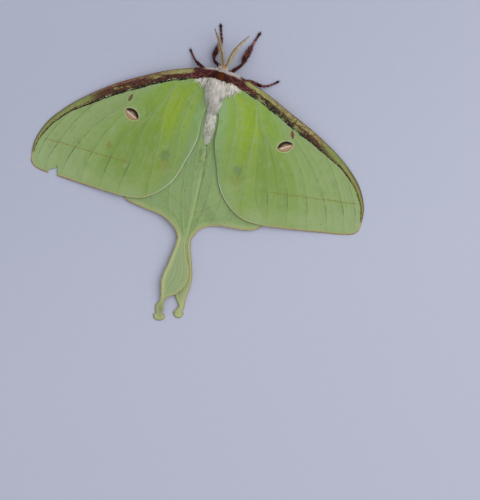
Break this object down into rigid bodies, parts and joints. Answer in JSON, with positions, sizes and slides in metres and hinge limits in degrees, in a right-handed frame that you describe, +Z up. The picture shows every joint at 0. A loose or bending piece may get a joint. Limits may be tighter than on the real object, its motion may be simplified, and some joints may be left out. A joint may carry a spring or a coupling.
{
  "type": "luna moth",
  "caption": "Large pale green moth at rest, wings spread flat on the floor, hindwings drawn out into long tails, woolly white body and feathered antennae.",
  "frame": {"origin": "on the floor, under the middle of the moth's bounding box", "axes": "+Y towards the head, +Z up, +X to the moth's right"},
  "size_m": [0.1, 0.0897, 0.0082],
  "materials": {
    "wing_green": "matt, covered in fine scales",
    "body_fur": "woolly",
    "leg_maroon": "hairy",
    "antenna_tan": "feathery",
    "eye_black": "glossy"
  },
  "bodies": {
    "root": {"head": "body_fur", "thorax": "body_fur", "abdomen": "body_fur", "eye_left": "eye_black", "eye_right": "eye_black", "antenna_left": "antenna_tan", "antenna_right": "antenna_tan", "forewing_left": "wing_green", "forewing_right": "wing_green", "hindwing_left": "wing_green", "hindwing_right": "wing_green", "tail_left": "wing_green", "tail_right": "wing_green", "leg_fore_left": "leg_maroon", "leg_fore_right": "leg_maroon", "leg_mid_left": "leg_maroon", "leg_mid_right": "leg_maroon", "leg_hind_left": "leg_maroon", "leg_hind_right": "leg_maroon"}
  },
  "joints": []
}
